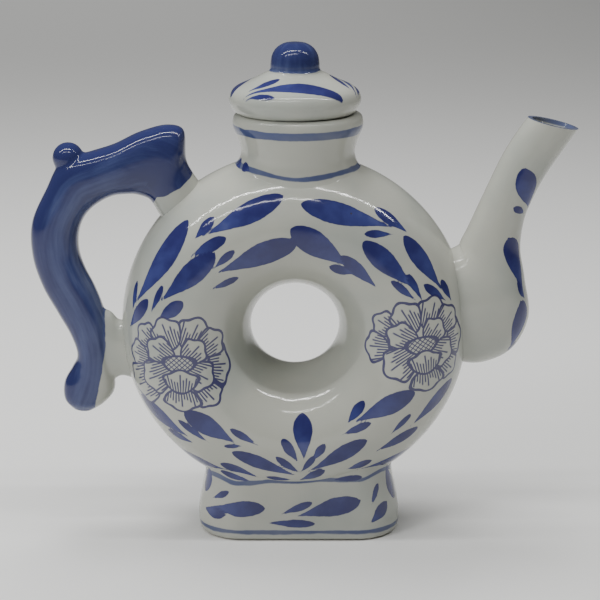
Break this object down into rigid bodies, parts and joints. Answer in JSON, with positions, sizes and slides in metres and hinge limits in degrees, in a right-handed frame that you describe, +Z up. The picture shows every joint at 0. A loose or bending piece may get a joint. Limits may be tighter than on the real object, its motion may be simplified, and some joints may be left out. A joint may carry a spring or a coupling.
{
  "type": "teapot",
  "caption": "Ring-bodied glazed teapot on an oblong foot, with a flared neck, lift-off domed lid, gooseneck spout, scrolled handle and painted blue flowers.",
  "frame": {"origin": "the point under the ring's centre, in the plane of the foot's underside, on the table", "axes": "+Z up, +X towards the spout, -Y towards the front (the side with the sprig between the two flowers); the axis of the ring is along Y"},
  "size_m": [0.2059, 0.058, 0.1874],
  "materials": {
    "painted_glaze": "gloss",
    "neck_glaze": "gloss",
    "foot_glaze": "gloss",
    "spout_glaze": "gloss",
    "handle_cobalt": "gloss",
    "lid_glaze": "gloss",
    "bare_flange": "matte",
    "knob_glaze": "gloss"
  },
  "bodies": {
    "pot": {"ring_front_shell": "painted_glaze", "ring_rear_shell": "painted_glaze", "neck_collar": "neck_glaze", "pedestal_foot": "foot_glaze", "spout": "spout_glaze", "handle": "handle_cobalt"},
    "lid": {"lid_dome": "lid_glaze", "lid_flange": "bare_flange", "lid_knob": "knob_glaze"}
  },
  "joints": [
    {"name": "lid_lift", "type": "slide", "parent": "pot", "child": "lid", "axis": [0, 0, 1], "range_m": [0, 0.04]}
  ]
}
